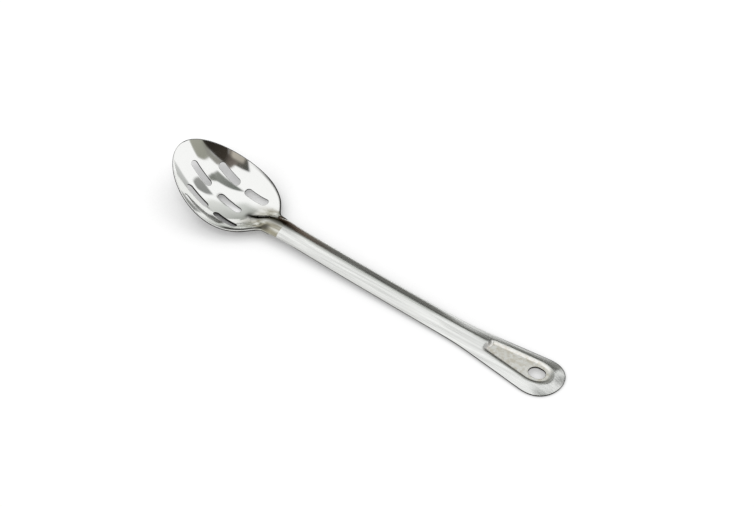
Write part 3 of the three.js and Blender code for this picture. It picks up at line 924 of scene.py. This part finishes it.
def card_cover(corners, softness, east, north):
    """Share that a card covers: the product, over its sides, of the eased distance inside each of them."""
    cover = np.ones_like(east)
    for (x, y), (next_x, next_y) in zip(corners, corners[1:] + corners[:1]):
        length = math.hypot(next_x - x, next_y - y)
        depth = ((next_y - y) * (east - x) - (next_x - x) * (north - y)) / length
        cover = cover * ease(-softness / 2.0, softness / 2.0, depth)
    return cover


def tinted_mesh(name, points, faces, colour):
    """A mesh whose points carry a colour."""
    mesh = bpy.data.meshes.new(name)
    mesh.from_pydata(points.reshape(-1, 3).tolist(), [], faces.tolist())
    mesh.attributes.new("tint", "FLOAT_VECTOR", "POINT").data.foreach_set("vector", colour.ravel())
    return mesh


def surroundings():
    """Half a sphere round the table: white, with the cards' colours laid over it."""
    rings, turns = DOME_STEPS
    falls, bearings = np.linspace(0.0, DOME_REACH, rings), np.linspace(0.0, 2.0 * np.pi, turns + 1)[:-1]
    fall, turn = np.meshgrid(falls, bearings, indexing="ij")
    east, north = fall * np.cos(turn), fall * np.sin(turn)
    colour = np.ones(fall.shape + (3,))
    for corners, softness, *sides in CARDS.values():
        cover = card_cover(corners, softness, east, north)[..., None]
        low, high = min(x for x, _ in corners), max(x for x, _ in corners)
        share = np.clip((east - low) / (high - low), 0.0, 1.0)[..., None]
        tint = between(np.array(sides[0]), np.array(sides[-1]), share)
        colour = between(colour, tint, cover)
    down = np.radians(fall)
    points = np.stack([np.sin(down) * np.cos(turn), np.sin(down) * np.sin(turn), np.cos(down)], axis=-1)
    number = np.arange(fall.size).reshape(fall.shape)
    beside = np.roll(number, -1, axis=1)
    corners = [number[:-1], number[1:], beside[1:], beside[:-1]]
    faces = np.stack([corner.ravel() for corner in corners], axis=1)
    return tinted_mesh("surroundings", DOME_RADIUS * points, faces, colour)


def strip():
    """A low dark strip on edge behind the handle, lower towards the handle's end, with a warm west end."""
    count = len(STRIP_PLACES)
    foot, head = (np.stack([STRIP_PLACES, np.full(count, STRIP_OFFSET), heights], axis=1)
                  for heights in (np.full(count, STRIP_FOOT), STRIP_HEADS))
    number = np.arange(count - 1)
    faces = np.stack([number, number + 1, number + 1 + count, number + count], axis=1)
    colour = np.concatenate([shade * np.array(STRIP_COLOURS) for shade in STRIP_SHADES])
    return tinted_mesh("strip", np.concatenate([foot, head]), faces, colour)


def surroundings_material():
    """Unlit colour of the surroundings."""
    material, bench = new_material("Surroundings")
    tint = bench.add("ShaderNodeAttribute", attribute_name="tint")
    light = bench.add("ShaderNodeEmission", {"Color": tint.outputs["Color"], "Strength": 1.0})
    bench.add("ShaderNodeOutputMaterial", {"Surface": light.outputs[0]})
    return material


def mirrored_only(mesh, material):
    """Stands a mesh on the stage so that it is seen in the steel alone."""
    mesh.materials.append(material)
    thing = link(mesh.name, mesh)
    for ray in ("camera", "diffuse", "shadow", "transmission"):
        setattr(thing, "visible_" + ray, False)


def seen(bench):
    """1 for rays from the camera, from a shiny surface or through glass, and 0 for the rest."""
    path = bench.add("ShaderNodeLightPath").outputs
    either = bench.math("MAXIMUM", path["Is Camera Ray"], path["Is Glossy Ray"])
    return bench.math("MAXIMUM", either, path["Is Transmission Ray"])


def floor_material(colour, glow):
    """A matt floor, raised to white where it is seen, but for the shadows and patches measured on it."""
    material, bench = new_material("Floor")
    tone = bench.tones(bench.noise("grain"), colour, GRAIN_TONES)
    matt = bench.add("ShaderNodeBsdfDiffuse", {"Color": tone})
    strength = bench.math("MULTIPLY", seen(bench), glow)
    for lean, left in SHADOWS:
        lean = bench.add("ShaderNodeCombineXYZ", dict(enumerate(lean))).outputs[0]
        sky = bench.add("ShaderNodeAmbientOcclusion", {"Distance": SHADOW_REACH, "Normal": lean},
                        samples=SHADOW_SAMPLES)
        shade = bench.remap(sky.outputs["AO"], SHADOW_SPAN, (left, 1.0))
        strength = bench.math("MULTIPLY", strength, shade)
    for middle, half_axes, turn, soft_edge, left in PATCHES:
        values = {"Vector": bench.place(), "Location": middle, "Scale": half_axes,
                  "Rotation": (0.0, 0.0, math.radians(turn))}
        patch = bench.add("ShaderNodeMapping", values, vector_type="TEXTURE").outputs[0]
        away = bench.add("ShaderNodeVectorMath", {0: patch}, operation="LENGTH").outputs["Value"]
        shade = bench.remap(away, soft_edge, (left, 1.0), interpolation_type="SMOOTHSTEP")
        strength = bench.math("MULTIPLY", strength, shade)
    light = bench.add("ShaderNodeEmission", {"Strength": strength})
    both = bench.add("ShaderNodeAddShader", {0: matt.outputs[0], 1: light.outputs[0]})
    bench.add("ShaderNodeOutputMaterial", {"Surface": both.outputs[0]})
    return material


def photo_camera():
    """Camera on the photograph's line of sight, turned by its small roll."""
    azimuth, elevation, roll = np.radians([CAMERA_AZIMUTH, CAMERA_ELEVATION, CAMERA_ROLL])
    back = Vector((math.sin(azimuth) * math.cos(elevation), -math.cos(azimuth) * math.cos(elevation),
                   math.sin(elevation)))
    data = bpy.data.cameras.new("Camera")
    data.sensor_width = SENSOR
    data.lens = SENSOR * FOCAL_PIXELS / PHOTO_WIDTH
    camera = link("Camera", data)
    aim = back.to_track_quat("Z", "Y").to_matrix().to_4x4()
    camera.matrix_world = (Matrix.Translation(Vector(CAMERA_TARGET) + CAMERA_DISTANCE * back) @ aim
                           @ Matrix.Rotation(roll, 4, "Z"))
    bpy.context.scene.camera = camera


class SPOON_OT_stage(Operator):
    """Make the floor, the surroundings that the steel reflects, the light and the camera"""

    bl_idname = "spoon.stage"
    bl_label = "Make Stage"

    def execute(self, context):
        scene = context.scene
        settings = scene.spoon_stage
        mesh = bpy.data.meshes.new("floor")
        half = DOME_RADIUS
        corners = [(-half, -half, 0.0), (half, -half, 0.0), (half, half, 0.0), (-half, half, 0.0)]
        mesh.from_pydata(corners, [], [(0, 1, 2, 3)])
        mesh.materials.append(floor_material(settings.floor, settings.glow))
        floor = link("floor", mesh)
        unlit = surroundings_material()
        mirrored_only(surroundings(), unlit)
        mirrored_only(strip(), unlit)
        lamp = bpy.data.lights.new("key", "SUN")
        lamp.angle = math.radians(SUN_SPREAD)
        lamp.energy = settings.key
        key = link("key", lamp)
        key.rotation_euler = (math.radians(90.0 - SUN_HEIGHT), 0.0, math.radians(CAMERA_AZIMUTH))
        key.visible_glossy = False
        world = bpy.data.worlds.new("Studio")
        world.use_nodes = True
        bench = NodeBench(world.node_tree)
        strength = bench.remap(seen(bench), (0.0, 1.0), (settings.ambient, 1.0))
        sky = bench.add("ShaderNodeBackground", {"Color": WHITE, "Strength": strength})
        bench.add("ShaderNodeOutputWorld", {"Surface": sky.outputs[0]})
        scene.world = world
        scene.view_settings.view_transform = "Standard"
        photo_camera()
        return {"FINISHED"}


class SPOON_PT_sidebar(Panel):
    """Sizes, finishes and steps of the spoon"""

    bl_label = "Serving Spoon"
    bl_space_type = "VIEW_3D"
    bl_region_type = "UI"
    bl_category = "Spoon"

    def draw(self, context):
        column = self.layout.column()
        for group in GROUPS:
            settings = getattr(context.scene, group)
            for name in settings.__annotations__:
                column.prop(settings, name)
        for step in (SPOON_OT_bowl, SPOON_OT_handle, SPOON_OT_stage):
            column.operator(step.bl_idname)


GROUPS = {"spoon_sizes": SpoonSizes, "spoon_finish": SpoonFinish, "spoon_stage": StageSettings}
CLASSES = (*GROUPS.values(), SPOON_OT_bowl, SPOON_OT_handle, SPOON_OT_stage, SPOON_PT_sidebar)


def register():
    """Registers the classes and hangs the settings on the scene."""
    for cls in CLASSES:
        bpy.utils.register_class(cls)
    for name, group in GROUPS.items():
        setattr(bpy.types.Scene, name, PointerProperty(type=group))


def unregister():
    """Takes away what register made."""
    for name in GROUPS:
        delattr(bpy.types.Scene, name)
    for cls in reversed(CLASSES):
        bpy.utils.unregister_class(cls)


def main():
    """Makes the spoon and its stage."""
    register()
    bpy.ops.spoon.bowl()
    bpy.ops.spoon.handle()
    bpy.ops.spoon.stage()


if __name__ == "__main__":
    main()
